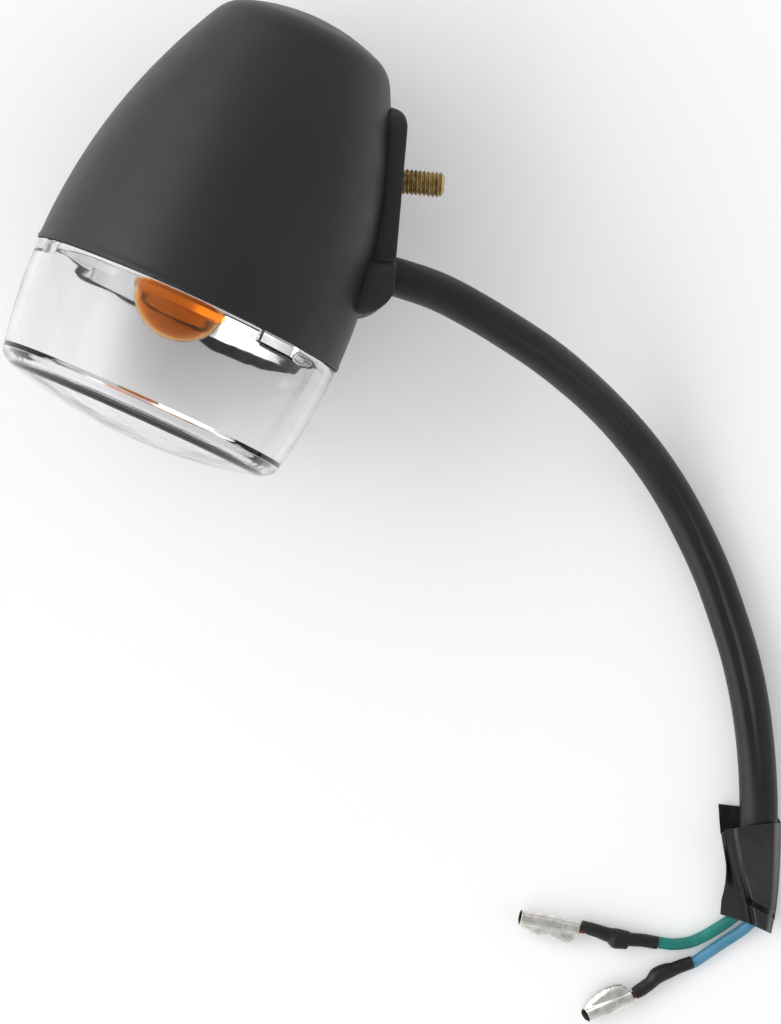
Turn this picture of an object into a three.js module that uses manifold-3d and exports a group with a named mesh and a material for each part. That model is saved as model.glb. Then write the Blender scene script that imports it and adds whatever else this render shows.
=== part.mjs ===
// Motorcycle turn signal indicator with a bullet-shaped housing, clear lens, amber bulb,
// rubber mounting pad with an M5 stud, and a short sleeved cord ending in two barrel terminals.
//
// Units are millimetres. +X points out of the mounting face, along the stud. +Z is up from the
// table that the lamp and its cord lie on. The origin is on the mounting face, midway between
// the stud and the cord's exit.
import * as THREE from 'three';
import { mergeVertices } from 'three/addons/utils/BufferGeometryUtils.js';
import Module from 'manifold-3d';

const wasm = await Module();
wasm.setup();

// Attitude of the lamp: its axis leans away from the mounting face, and the lens end is raised.
const AXIS_LEAN = THREE.MathUtils.degToRad(19.26);
const NOSE_UP = THREE.MathUtils.degToRad(6.7);
const MOUTH_X = -38.1;
const MOUTH_Y = -18.1;
const TABLE_Z = -29.33;

// Housing, a bullet whose radius falls with the depth behind its mouth.
const MOUTH_RADIUS = 30.8;
const LIP_RADIUS = 30.95;
const TAPER_RATE = 0.00248;
const TAPER_POWER = 2.15;
const HOUSING_LENGTH = 59.4;
const TAIL_DOME_RADIUS = 38;
const WALL = 2.4;

// Lens, a cup with a drafted side and a slightly domed front.
const LENS_RADIUS = 30.6;
const LENS_DRAFT = 0.005;
const LENS_LENGTH = 27.4;
const LENS_DOME_RADIUS = 95;
const LENS_WALL = 2;

// Mouth joint: a groove for the seal, three lens tabs and three reflector ledges between them.
const GROOVE_DEPTH = 1.25;
const GROOVE_OUTER = 30.35;
const BORE_RADIUS = 28.4;
const TAB_COUNT = 3;
const TAB_ANGLE = THREE.MathUtils.degToRad(51);
const TAB_WIDTH = 8.5;

// Reflector, a paraboloid with its focus at the filament.
const REFLECTOR_RIM = 25.7;
const REFLECTOR_NECK = 8.95;
const REFLECTOR_TOP = -0.2;
const REFLECTOR_BOTTOM = -14.2;
const REFLECTOR_WALL = 1.1;

// Bulb with an 18.8 mm globe and a 15.25 mm bayonet cap whose two pins are 150 degrees apart.
const GLOBE_RADIUS = 9.4;
const GLOBE_CENTRE = -2.4;
const GLASS_WALL = 0.6;
const CAP_RADIUS = 7.62;
const PIN_RADIUS = 1.0;
const PIN_REACH = 8.7;
const PIN_HEIGHT = -22.5;
const PIN_ANGLES = [15, 165].map(THREE.MathUtils.degToRad);

// Socket that holds the bulb, with a slot for each pin.
const SOCKET_INNER = 7.85;
const SOCKET_OUTER = 8.45;
const BULB_TURN = THREE.MathUtils.degToRad(20);
const BULB_PUSH = 2;

// Mounting pad, stud and cord exit. The pad is measured along Y and Z on the mounting face.
const PAD_TOP = 22.6;
const PAD_HALF_WIDTH = 7;
const BOSS_TOP = -6.9;
const BOSS_BOTTOM = -17.4;
const BOSS_HALF_WIDTH = 9.6;
const STUD_Y = 9.05;
const STUD_RADIUS = 2.45;
const STUD_LENGTH = 8.3;
const CORD_Y = -9.05;
const CORD_TURN = THREE.MathUtils.degToRad(10);

// Cord.
const SLEEVE_RADIUS = 3.7;
const WIRE_RADIUS = 1.2;
const BOOT_RADIUS = 1.95;

// Facets, gaps between neighbouring pieces, and the distance within which vertices are one.
const ROUND = 48;
const MID_ROUND = 32;
const SMALL_ROUND = 20;
const GAP = 0.3;
const MERGE = 1e-3;

// ---------------------------------------------------------------- helpers

// A closed, indexed mesh with merged vertices, no collapsed triangles and its faces outward.
function closed(geometry) {
  const bare = geometry.clone();
  bare.deleteAttribute('normal');
  bare.deleteAttribute('uv');
  const merged = mergeVertices(bare, MERGE);
  const at = merged.attributes.position;
  const source = merged.index.array;
  const corner = [new THREE.Vector3(), new THREE.Vector3(), new THREE.Vector3()];
  const index = [];
  let volume = 0;
  for (let i = 0; i < source.length; i += 3) {
    const [a, b, c] = [source[i], source[i + 1], source[i + 2]];
    if (a === b || b === c || a === c) continue;
    index.push(a, b, c);
    corner[0].fromBufferAttribute(at, a);
    corner[1].fromBufferAttribute(at, b);
    corner[2].fromBufferAttribute(at, c);
    volume += corner[0].dot(corner[1].cross(corner[2]));
  }
  if (volume < 0) index.reverse();
  merged.setIndex(index);
  merged.computeVertexNormals();
  return merged;
}

function solidOf(geometry) {
  const mesh = closed(geometry);
  return new wasm.Manifold(new wasm.Mesh({
    numProp: 3,
    vertProperties: new Float32Array(mesh.attributes.position.array),
    triVerts: new Uint32Array(mesh.index.array),
  }));
}

function geometryOf(solid) {
  const mesh = solid.getMesh();
  const geometry = new THREE.BufferGeometry();
  geometry.setAttribute('position', new THREE.BufferAttribute(mesh.vertProperties, 3));
  geometry.setIndex(new THREE.BufferAttribute(mesh.triVerts, 1));
  return closed(geometry);
}

function joined(first, ...others) {
  return geometryOf(others.reduce((solid, other) => solid.add(solidOf(other)), solidOf(first)));
}

function cut(body, ...tools) {
  return geometryOf(tools.reduce((solid, tool) => solid.subtract(solidOf(tool)), solidOf(body)));
}

// A body of revolution about +Z from [radius, height] points.
function revolve(points, segments = ROUND) {
  const profile = points.map(([r, z]) => new THREE.Vector2(r, z));
  return closed(new THREE.LatheGeometry(profile, segments).rotateX(Math.PI / 2));
}

// The same, for a ring whose profile closes on itself.
function ring(points, segments = ROUND) {
  return revolve([...points, points[0]], segments);
}

// A cylinder along +X from one x to another.
function rodAlongX(radius, from, to, y = 0, z = 0, segments = SMALL_ROUND) {
  return new THREE.CylinderGeometry(radius, radius, to - from, segments)
    .rotateZ(Math.PI / 2)
    .translate((from + to) / 2, y, z);
}

// A round tube along a smooth curve through the given points.
function tube(points, radius, sides, steps) {
  const section = new THREE.Shape();
  for (let i = 0; i < sides; i += 1) {
    const angle = (2 * Math.PI * i) / sides;
    const [x, y] = [radius * Math.cos(angle), radius * Math.sin(angle)];
    if (i === 0) section.moveTo(x, y);
    else section.lineTo(x, y);
  }
  section.closePath();
  const path = new THREE.CatmullRomCurve3(points.map((p) => new THREE.Vector3(...p)), false, 'centripetal');
  return closed(new THREE.ExtrudeGeometry(section, { steps, bevelEnabled: false, extrudePath: path }));
}

// Values spread evenly from one number to another, both ends included.
function spread(from, to, count) {
  return Array.from({ length: count }, (_, i) => from + ((to - from) * i) / (count - 1));
}

// A wedge between two angles about +Z, from one radius to another and one height to another.
function sector(fromAngle, toAngle, inner, outer, low, high) {
  const shape = new THREE.Shape();
  shape.absarc(0, 0, outer, fromAngle, toAngle, false);
  shape.absarc(0, 0, inner, toAngle, fromAngle, true);
  shape.closePath();
  const options = { depth: high - low, bevelEnabled: false, curveSegments: 6 };
  return new THREE.ExtrudeGeometry(shape, options).translate(0, 0, low);
}

// A block that spans two radii, centred on an angle about +Z.
function block(angle, width, inner, outer, low, high) {
  return new THREE.BoxGeometry(outer - inner, width, high - low)
    .translate((inner + outer) / 2, 0, (low + high) / 2)
    .rotateZ(angle);
}

function finish(color, roughness, metalness = 0, opacity = 1) {
  return new THREE.MeshStandardMaterial({
    color, roughness, metalness, opacity, transparent: opacity < 1,
  });
}

function add(group, name, geometry, material) {
  const mesh = new THREE.Mesh(geometry, material);
  mesh.name = name;
  group.add(mesh);
}

// ---------------------------------------------------------------- frames

// The mount frame has the row's axes before the lamp is tipped nose up about +X. The lamp frame
// sits at the centre of the housing's mouth, +Z along the lamp's axis out through the lens, +X
// towards the mounting pad.
const mountGroup = new THREE.Group();
mountGroup.rotation.x = -NOSE_UP;

const lampGroup = new THREE.Group();
const sinLean = Math.sin(AXIS_LEAN);
const cosLean = Math.cos(AXIS_LEAN);
const lampToMount = new THREE.Matrix4()
  .makeBasis(
    new THREE.Vector3(cosLean, -sinLean, 0),
    new THREE.Vector3(0, 0, 1),
    new THREE.Vector3(-sinLean, -cosLean, 0),
  )
  .setPosition(MOUTH_X, MOUTH_Y, 0);
lampToMount.decompose(lampGroup.position, lampGroup.quaternion, lampGroup.scale);
mountGroup.add(lampGroup);
const mountToLamp = lampToMount.clone().invert();

// A point given in the mount frame, in the row's frame.
function inRow(x, y, z) {
  return new THREE.Vector3(x, y, z).applyAxisAngle(new THREE.Vector3(1, 0, 0), -NOSE_UP).toArray();
}

// ---------------------------------------------------------------- housing

function housingRadius(depth) {
  return MOUTH_RADIUS - TAPER_RATE * depth ** TAPER_POWER;
}

function domeDepth(radius, domeRadius, length) {
  return length - domeRadius + Math.sqrt(domeRadius ** 2 - radius ** 2);
}

// The bullet's outer profile from the lip to the tip of the tail, grown outwards by a margin.
function bulletProfile(margin) {
  const side = [4, 10, 16, 22, 28, 34, 40, 46, 50, 53].map((depth) => [housingRadius(depth), -depth]);
  const shoulder = [[16.7, -55.06]];
  const dome = [14.8, 11, 6.5].map((r) => [r, -domeDepth(r, TAIL_DOME_RADIUS, HOUSING_LENGTH)]);
  const skin = [[LIP_RADIUS, 0], [LIP_RADIUS, -0.9], [MOUTH_RADIUS, -1.5], ...side, ...shoulder, ...dome];
  const grown = skin.map(([r, z]) => [r + margin, z - margin * (-z / HOUSING_LENGTH) ** 2]);
  return [...grown, [0, -HOUSING_LENGTH - margin]];
}

function housing() {
  const inside = [0, 8, 16, 24, 32, 40, 46, 50].map((depth) => [
    Math.min(BORE_RADIUS, housingRadius(depth) - WALL),
    -Math.max(depth, GROOVE_DEPTH),
  ]);
  const shell = revolve([
    ...bulletProfile(0).reverse(),
    [GROOVE_OUTER, 0],
    [GROOVE_OUTER, -GROOVE_DEPTH],
    ...inside,
    [14, -54.2],
    [8, -56.1],
    [0, WALL - HOUSING_LENGTH],
  ]);
  const ledges = spread(0, TAB_COUNT - 1, TAB_COUNT).map((i) => {
    const angle = TAB_ANGLE + (Math.PI / TAB_COUNT) * (2 * i + 1);
    return block(angle, 5, 27.2, 29, -5, -1.35);
  });
  const studBoss = rodAlongX(6.2, -8.6, -4.9, STUD_Y).applyMatrix4(mountToLamp);
  const studHole = rodAlongX(2.7, -12, 2, STUD_Y).applyMatrix4(mountToLamp);
  return cut(joined(shell, ...ledges, studBoss), studHole, cordBore(4.3));
}

// ---------------------------------------------------------------- lens and seal

function lensSide(height) {
  return LENS_RADIUS - LENS_DRAFT * height ** 2;
}

function lens() {
  const outer = [0.1, 5, 9, 13, 17, 20].map((z) => [lensSide(z), z]);
  const outerCorner = [[28.25, 21.6], [27.4, 22.75], [26, 23.6]];
  const outerDome = [20, 13, 6].map((r) => [r, domeDepth(r, LENS_DOME_RADIUS, LENS_LENGTH)]);
  const innerDome = [5, 12, 19].map((r) => [r, domeDepth(r, LENS_DOME_RADIUS, LENS_LENGTH - LENS_WALL)]);
  const innerCorner = [[24.2, 21.8], [25.8, 21], [26.5, 19.6]];
  const inner = [16, 10, 5, 0.1].map((z) => [lensSide(z) - LENS_WALL, z]);
  const cup = revolve([
    [0, LENS_LENGTH - LENS_WALL], ...innerDome, ...innerCorner, ...inner,
    ...outer, ...outerCorner, ...outerDome, [0, LENS_LENGTH],
  ]);
  const tabs = spread(0, TAB_COUNT - 1, TAB_COUNT).flatMap((i) => {
    const angle = TAB_ANGLE + (2 * Math.PI * i) / TAB_COUNT;
    const root = block(angle, TAB_WIDTH, 26.9, 28.9, 0.2, 2.3);
    const tongue = block(angle, TAB_WIDTH, 26.9, 27.8, -3.6, 1);
    return [root, tongue];
  });
  return joined(cup, ...tabs);
}

function seal() {
  const [low, high] = [0.15 - GROOVE_DEPTH, -0.05];
  return ring([[28.55, low], [30.2, low], [30.2, high], [28.55, high]]);
}

// ---------------------------------------------------------------- reflector and socket

function reflector() {
  const rate = (REFLECTOR_TOP - REFLECTOR_BOTTOM) / (REFLECTOR_RIM ** 2 - REFLECTOR_NECK ** 2);
  const base = REFLECTOR_BOTTOM - rate * REFLECTOR_NECK ** 2;
  const face = (r) => [r, base + rate * r * r];
  const back = (r) => {
    const slope = Math.atan(2 * rate * r);
    const [, z] = face(r);
    return [r + REFLECTOR_WALL * Math.sin(slope), z - REFLECTOR_WALL * Math.cos(slope)];
  };
  const bowl = ring([
    ...spread(REFLECTOR_NECK, REFLECTOR_RIM, 8).map(face),
    [28.1, REFLECTOR_TOP],
    [28.1, REFLECTOR_TOP - 1],
    [26.45, REFLECTOR_TOP - 1],
    ...spread(25, 12, 6).map(back),
    [11.5, -16],
    [11.5, -19.6],
    [REFLECTOR_NECK, -19.6],
  ]);
  const notches = spread(0, TAB_COUNT - 1, TAB_COUNT).map((i) => (
    block(TAB_ANGLE + (2 * Math.PI * i) / TAB_COUNT, TAB_WIDTH + 0.8, 26.6, 29, -4, 1)
  ));
  return cut(bowl, ...notches);
}

function socketShell() {
  const shell = ring([
    [SOCKET_INNER, -14.8], [SOCKET_INNER, -38.8], [6.8, -38.8], [6.8, -39.4], [SOCKET_OUTER, -39.4],
    [SOCKET_OUTER, -20.6], [11.3, -20.6], [11.3, -19.9], [SOCKET_OUTER, -19.9], [SOCKET_OUTER, -14.8],
  ]);
  // Each pin slot is a window, long enough for the turn and the push, with a way in from the front.
  const halfPin = Math.asin((PIN_RADIUS + 0.2) / SOCKET_INNER);
  const slots = PIN_ANGLES.flatMap((angle) => [
    sector(angle - halfPin, angle + BULB_TURN + halfPin, 7, 9.1,
      PIN_HEIGHT - PIN_RADIUS - BULB_PUSH - 0.3, PIN_HEIGHT + PIN_RADIUS + 0.2),
    sector(angle + BULB_TURN - halfPin, angle + BULB_TURN + halfPin, 7, 9.1, PIN_HEIGHT, -14),
  ]);
  return cut(shell, ...slots);
}

function socketBase() {
  return ring([[1.3, -38.6], [7.65, -38.6], [7.65, -37.2], [1.3, -37.2]], MID_ROUND);
}

function socketTerminal() {
  return revolve([
    [0, -41], [0.9, -41], [0.9, -38.9], [1.1, -38.7], [1.1, -37.05], [2.6, -37.05], [2.6, -36.5], [0, -36.5],
  ], SMALL_ROUND);
}

function contactCarriage() {
  return ring([[1.4, -32.2], [7.55, -32.2], [7.55, -30.6], [1.4, -30.6]], MID_ROUND);
}

function contactButton() {
  return revolve([
    [0, -33.2], [1.2, -33.2], [1.2, -30.55], [2.3, -30.55], [2, -30.1], [0, -30.08],
  ], SMALL_ROUND);
}

function contactSpring() {
  const turns = 2.25;
  const count = 24;
  const points = spread(0, 1, count).map((t) => {
    const angle = 2 * Math.PI * turns * t;
    return [4.6 * Math.cos(angle), 4.6 * Math.sin(angle), -36.75 + 4.1 * t];
  });
  return tube(points, 0.3, 6, 30);
}

// ---------------------------------------------------------------- bulb

function arcAbout(centre, radius, fromAngle, toAngle, count) {
  return spread(fromAngle, toAngle, count).map((angle) => [
    radius * Math.cos(angle), centre + radius * Math.sin(angle),
  ]);
}

function bulbGlass() {
  const lowest = -0.75;
  const inner = GLOBE_RADIUS - GLASS_WALL;
  return revolve([
    ...arcAbout(GLOBE_CENTRE, inner, Math.PI / 2, lowest, 7).map(([r, z]) => [Math.max(r, 0), z]),
    [6.35, -9], [6.35, -14], [6.95, -14], [6.95, -9.2],
    ...arcAbout(GLOBE_CENTRE, GLOBE_RADIUS, lowest, Math.PI / 2, 9).map(([r, z]) => [r < MERGE ? 0 : r, z]),
  ], MID_ROUND);
}

function bulbCap() {
  const shell = ring([
    [CAP_RADIUS, -12.7], [7.25, -12.7], [7.25, -27.6], [6, -28.8], [4.6, -29], [4.6, -29.4], [6.2, -29.3],
    [CAP_RADIUS, -27.9],
  ], MID_ROUND);
  const pins = PIN_ANGLES.map((angle) => (
    rodAlongX(PIN_RADIUS, 7.35, PIN_REACH, 0, PIN_HEIGHT, 16).rotateZ(angle)
  ));
  return joined(shell, ...pins);
}

function bulbInsulator() {
  return revolve([[0, -29.3], [4.45, -29.3], [4.45, -28], [0, -28]], SMALL_ROUND);
}

function bulbContact() {
  return revolve([[0, -30], [1.3, -29.9], [2.1, -29.4], [0, -29.4]], SMALL_ROUND);
}

function bulbStem() {
  return revolve([[0, -15.5], [3.4, -15.5], [3.2, -13], [1.5, -10], [1.2, -8.2], [0, -8]], SMALL_ROUND);
}

function filamentLead(side) {
  return tube([[side * 0.6, 0, -7.7], [side * 1.6, 0, -6.4], [side * 2.9, 0, -4.6], [side * 3.2, 0, -3.6]],
    0.22, 6, 5);
}

function filament() {
  return tube([[-3.2, 0, -3.1], [-2, 0, -2.2], [0, 0, -1.8], [2, 0, -2.2], [3.2, 0, -3.1]], 0.3, 6, 8);
}

// ---------------------------------------------------------------- mounting pad and stud

// The solid the pad is moulded against: the bullet, grown by the gap between the two.
function padCutter() {
  return revolve([[0, 0], ...bulletProfile(GAP)]).applyMatrix4(lampToMount);
}

// The direction the cord takes through the pad and the housing wall, as a cutter in either frame.
function boreAlongCord(radius) {
  return rodAlongX(radius, -12, 4).rotateZ(-CORD_TURN).translate(0, CORD_Y, 0);
}

function cordBore(radius) {
  return boreAlongCord(radius).applyMatrix4(mountToLamp);
}

// An outline across the mounting face, extruded back from the face along -X.
function acrossFace(shape, depth) {
  return new THREE.ExtrudeGeometry(shape, { depth, bevelEnabled: false, curveSegments: 8 })
    .rotateX(Math.PI / 2)
    .rotateZ(Math.PI / 2)
    .translate(-depth, 0, 0);
}

function padOutline(low, high, halfWidth, corner) {
  const shape = new THREE.Shape();
  shape.moveTo(low + corner, -halfWidth);
  shape.lineTo(high - corner, -halfWidth);
  shape.absarc(high - corner, corner - halfWidth, corner, -Math.PI / 2, 0, false);
  shape.absarc(high - corner, halfWidth - corner, corner, 0, Math.PI / 2, false);
  shape.lineTo(low + corner, halfWidth);
  shape.absarc(low + corner, halfWidth - corner, corner, Math.PI / 2, Math.PI, false);
  shape.absarc(low + corner, corner - halfWidth, corner, Math.PI, 1.5 * Math.PI, false);
  shape.closePath();
  return shape;
}

// The pad as seen from above: flat on the mounting face, rounded off at both ends.
function padProfile() {
  const shape = new THREE.Shape();
  shape.moveTo(0, -12.8);
  shape.lineTo(0, PAD_TOP - 3.6);
  shape.quadraticCurveTo(-0.4, PAD_TOP, -4, PAD_TOP);
  shape.lineTo(-14, PAD_TOP);
  shape.lineTo(-14, BOSS_BOTTOM);
  shape.lineTo(-5.6, BOSS_BOTTOM);
  shape.quadraticCurveTo(-1.6, BOSS_BOTTOM + 0.9, 0, -12.8);
  return new THREE.ExtrudeGeometry(shape, { depth: 24, bevelEnabled: false, curveSegments: 6 })
    .translate(0, 0, -12);
}

function mountingPad() {
  const slab = acrossFace(padOutline(BOSS_TOP - 4, PAD_TOP, PAD_HALF_WIDTH, 5.5), 13);
  const boss = acrossFace(padOutline(BOSS_BOTTOM, BOSS_TOP, BOSS_HALF_WIDTH, 3), 13);
  const blank = solidOf(joined(slab, boss)).intersect(solidOf(padProfile()));
  const studHole = rodAlongX(2.75, -12, 2, STUD_Y);
  return cut(geometryOf(blank), padCutter(), studHole, boreAlongCord(SLEEVE_RADIUS + 0.25));
}

function mountingStud() {
  const shank = revolve([
    [0, -10], [STUD_RADIUS, -10], [STUD_RADIUS, STUD_LENGTH - 0.7], [STUD_RADIUS - 0.75, STUD_LENGTH],
    [0, STUD_LENGTH],
  ], SMALL_ROUND).rotateY(Math.PI / 2);
  const acrossCorners = 8 / Math.cos(Math.PI / 6);
  const head = new THREE.CylinderGeometry(acrossCorners / 2, acrossCorners / 2, 3.5, 6)
    .rotateZ(Math.PI / 2)
    .translate(-11.65, 0, 0);
  return joined(shank, head).translate(0, STUD_Y, 0);
}

function studWasher() {
  return ring([[2.7, -9.75], [5, -9.75], [5, -8.75], [2.7, -8.75]], SMALL_ROUND)
    .rotateY(Math.PI / 2)
    .translate(0, STUD_Y, 0);
}

// ---------------------------------------------------------------- leads inside the housing

function innerLeadGreen() {
  return tube([[26, 1.5, -20], [22, 2, -20.6], [17, 2.8, -22.6], [13, 2.6, -25.6], [9.6, 1.6, -28]], 0.9, 8, 10);
}

function innerLeadBlue() {
  return tube([
    [26, -1.5, -20], [22, -3.4, -20.8], [18.4, -6.6, -24.5], [16.4, -9, -31], [12.6, -8.8, -38.5],
    [8, -6.2, -44.5], [3.4, -2.8, -47.4], [0.6, -0.5, -45.8], [0, 0, -43.6], [0, 0, -41.3],
  ], 0.9, 8, 26);
}

// ---------------------------------------------------------------- cord

// The sleeve leaves the pad, comes down to the table and lies on it in one open bend.
const SLEEVE_START = inRow(-6 * Math.cos(CORD_TURN), CORD_Y + 6 * Math.sin(CORD_TURN), 0);
const SLEEVE_ROUTE = [
  SLEEVE_START,
  inRow(0, CORD_Y, 0),
  [8.7, -11.0, 1.1],
  [16.9, -14.3, 0.1],
  [24.7, -18.1, -2.5],
  [31.9, -22.0, -6.1],
  [38.6, -26.3, -10.3],
  [44.9, -30.9, -14.6],
  [51.0, -36.0, -18.6],
  [56.9, -41.8, -22.0],
  [62.4, -48.3, -24.5],
  [67.5, -55.7, -25.6],
  [72.0, -63.4, -25.6],
  [75.9, -71.4, -25.6],
  [79.5, -79.7, -25.6],
  [82.3, -88.1, -25.6],
  [84.5, -96.8, -25.6],
  [86.1, -105.6, -25.6],
  [87.0, -113.6, -25.6],
];

// Outline on the table of the flattened wrap of tape that closes the sleeve.
const TAPE_OUTLINE = [
  [80.4, -116.5], [91.5, -113.7], [92.5, -125.0], [92.2, -135.8], [86.9, -134.5], [81.7, -132.9],
  [83.4, -125.7], [81.4, -119.8],
];
const TAPE_HEIGHT = 7;

const WIRE_ROUTES = {
  green: [
    [83.4, -134.5, -27.0], [82.8, -135.1, -27.2], [81.9, -135.9, -27.6], [80.2, -137.3, -28.0],
    [78.1, -138.9, -28.1], [75.8, -140.0, -28.1], [72.5, -140.5, -28.1], [69.5, -140.3, -28.1],
  ],
  blue: [
    [87.5, -135.8, -27.0], [86.6, -136.4, -27.2], [85.2, -137.4, -27.6], [83.1, -139.1, -28.0],
    [79.7, -141.9, -28.1], [77.3, -143.9, -28.1],
  ],
};

const BOOT_ROUTES = {
  green: [[69.2, -140.3, -27.3], [63.5, -140.2, -27.3], [59.0, -139.6, -27.3], [54.3, -138.4, -27.3]],
  blue: [[77.0, -144.1, -27.3], [71.4, -146.1, -27.3], [68.6, -148.0, -27.3], [66.3, -150.4, -27.3]],
};

// Each terminal is a rolled, tapered barrel, open at both ends, with its seam's wing on one side.
const TERMINAL_LENGTH = 11.6;
const TERMINALS = {
  green: { rear: [52.6, -138.0], nose: [40.9, -137.0], wing: 1 },
  blue: { rear: [65.1, -151.4], nose: [55.3, -156.9], wing: -1 },
};
const TERMINAL_Z = TABLE_Z + 2.15;

function tapeWrap() {
  const shape = new THREE.Shape(TAPE_OUTLINE.map(([x, y]) => new THREE.Vector2(x, y)));
  return new THREE.ExtrudeGeometry(shape, { depth: TAPE_HEIGHT, bevelEnabled: false })
    .translate(0, 0, TABLE_Z + 0.05);
}

// A piece made along +Z from its rear end, turned to lie on the table from rear to nose.
function layTerminal(geometry, { rear, nose }) {
  const direction = new THREE.Vector3(nose[0] - rear[0], nose[1] - rear[1], 0).normalize();
  const turn = new THREE.Quaternion().setFromUnitVectors(new THREE.Vector3(0, 0, 1), direction);
  return geometry.applyQuaternion(turn).translate(rear[0], rear[1], TERMINAL_Z);
}

function terminal(place) {
  const barrel = ring([
    [2.05, 0], [2.0, 4.5], [1.6, 9], [1.4, TERMINAL_LENGTH], [1.05, TERMINAL_LENGTH], [1.25, 9], [1.65, 4.5],
    [1.7, 0],
  ], 16);
  const wing = new THREE.BoxGeometry(0.35, 1.3, 3.6).translate(0, place.wing * 2.3, 2.2);
  return layTerminal(joined(barrel, wing), place);
}

function conductor(place) {
  const strand = revolve([[0, -1], [0.9, -1], [0.9, 2.4], [0, 2.4]], 12);
  return layTerminal(strand, place);
}

// ---------------------------------------------------------------- materials

const blackPlastic = finish('#323234', 0.55);
const blackRubber = finish('#28282a', 0.8);
const clearPlastic = finish('#e8eaec', 0.05, 0, 0.35);
const silvered = finish('#d9dbdd', 0.12, 1);
const zincSteel = finish('#b9bbb8', 0.35, 1);
const yellowZinc = finish('#a08a52', 0.4, 1);
const amberGlass = finish('#e07a14', 0.05, 0, 0.6);
const clearGlass = finish('#eef2f2', 0.05, 0, 0.4);
const nickel = finish('#c6c2b4', 0.3, 1);
const brass = finish('#b8964a', 0.35, 1);
const solder = finish('#a9abad', 0.4, 1);
const blackGlass = finish('#151516', 0.2);
const phenolic = finish('#5b3a22', 0.7);
const tungsten = finish('#77787a', 0.5, 1);
const tinned = finish('#d3d2cb', 0.28, 1);
const copper = finish('#8f4a2a', 0.5, 1);
const sleeveVinyl = finish('#2b2c2f', 0.5);
const tapeVinyl = finish('#303035', 0.45);
const bootVinyl = finish('#2a2322', 0.5);
const greenVinyl = finish('#1c9178', 0.45);
const blueVinyl = finish('#5096be', 0.45);

// ---------------------------------------------------------------- assembly

add(lampGroup, 'housing', housing(), blackPlastic);
add(lampGroup, 'lens', lens(), clearPlastic);
add(lampGroup, 'lens_seal', seal(), blackRubber);
add(lampGroup, 'reflector', reflector(), silvered);
add(lampGroup, 'socket_shell', socketShell(), zincSteel);
add(lampGroup, 'socket_base', socketBase(), phenolic);
add(lampGroup, 'socket_terminal', socketTerminal(), brass);
add(lampGroup, 'contact_carriage', contactCarriage(), phenolic);
add(lampGroup, 'contact_button', contactButton(), brass);
add(lampGroup, 'contact_spring', contactSpring(), zincSteel);
add(lampGroup, 'bulb_glass', bulbGlass(), amberGlass);
add(lampGroup, 'bulb_cap', bulbCap(), nickel);
add(lampGroup, 'bulb_insulator', bulbInsulator(), blackGlass);
add(lampGroup, 'bulb_contact', bulbContact(), solder);
add(lampGroup, 'bulb_stem', bulbStem(), clearGlass);
add(lampGroup, 'bulb_lead_left', filamentLead(-1), tungsten);
add(lampGroup, 'bulb_lead_right', filamentLead(1), tungsten);
add(lampGroup, 'bulb_filament', filament(), tungsten);
add(lampGroup, 'inner_lead_green', innerLeadGreen(), greenVinyl);
add(lampGroup, 'inner_lead_blue', innerLeadBlue(), blueVinyl);

add(mountGroup, 'mounting_pad', mountingPad(), blackRubber);
add(mountGroup, 'mounting_stud', mountingStud(), yellowZinc);
add(mountGroup, 'stud_washer', studWasher(), zincSteel);

const indicator = new THREE.Group();
indicator.add(mountGroup);
add(indicator, 'cable_sleeve', tube(SLEEVE_ROUTE, SLEEVE_RADIUS, 10, 20), sleeveVinyl);
add(indicator, 'tape_wrap', tapeWrap(), tapeVinyl);
for (const [colour, vinyl] of [['green', greenVinyl], ['blue', blueVinyl]]) {
  add(indicator, `wire_${colour}`, tube(WIRE_ROUTES[colour], WIRE_RADIUS, 8, 8), vinyl);
  add(indicator, `boot_${colour}`, tube(BOOT_ROUTES[colour], BOOT_RADIUS, 8, 6), bootVinyl);
  add(indicator, `conductor_${colour}`, conductor(TERMINALS[colour]), copper);
  add(indicator, `terminal_${colour}`, terminal(TERMINALS[colour]), tinned);
}

export default indicator;
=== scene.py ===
"""Looks for a motorcycle turn signal indicator that lies on a pale table with its cord.

Lengths are written in millimetres and turned into metres where meshes are made. The row's frame has
+X out of the mounting face and +Z up from the table. The lamp's own frame has its origin at the
centre of the housing's mouth, +Z out through the lens and +X towards the mounting pad.
"""

import math

import bmesh
import bpy
from mathutils import Matrix, Vector, noise


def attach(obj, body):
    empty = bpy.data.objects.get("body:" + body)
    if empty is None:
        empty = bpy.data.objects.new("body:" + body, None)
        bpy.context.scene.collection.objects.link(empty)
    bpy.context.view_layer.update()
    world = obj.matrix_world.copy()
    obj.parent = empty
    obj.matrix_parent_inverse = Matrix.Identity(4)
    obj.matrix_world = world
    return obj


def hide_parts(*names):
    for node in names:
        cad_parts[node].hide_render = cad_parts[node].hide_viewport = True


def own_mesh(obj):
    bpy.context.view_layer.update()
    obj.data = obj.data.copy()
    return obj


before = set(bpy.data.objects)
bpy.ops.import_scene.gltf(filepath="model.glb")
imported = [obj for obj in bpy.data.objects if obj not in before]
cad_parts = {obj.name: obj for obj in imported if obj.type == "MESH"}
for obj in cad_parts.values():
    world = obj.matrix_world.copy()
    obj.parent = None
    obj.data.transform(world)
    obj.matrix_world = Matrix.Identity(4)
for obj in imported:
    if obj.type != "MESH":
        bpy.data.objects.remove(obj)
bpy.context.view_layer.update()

MM = 0.001
AXIS_LEAN = math.radians(19.26)
NOSE_UP = math.radians(6.7)
MOUTH = Vector((-38.1, -18.1, 0.0))
TABLE = -29.33

MOUTH_RADIUS = 30.8
TAPER_RATE = 0.00248
TAPER_POWER = 2.15
HOUSING_LENGTH = 59.4
SIDE_END = 53
TAIL_FLAT = 14.8
TAIL_DOME_RADIUS = 38.0
WALL = 2.4

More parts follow.
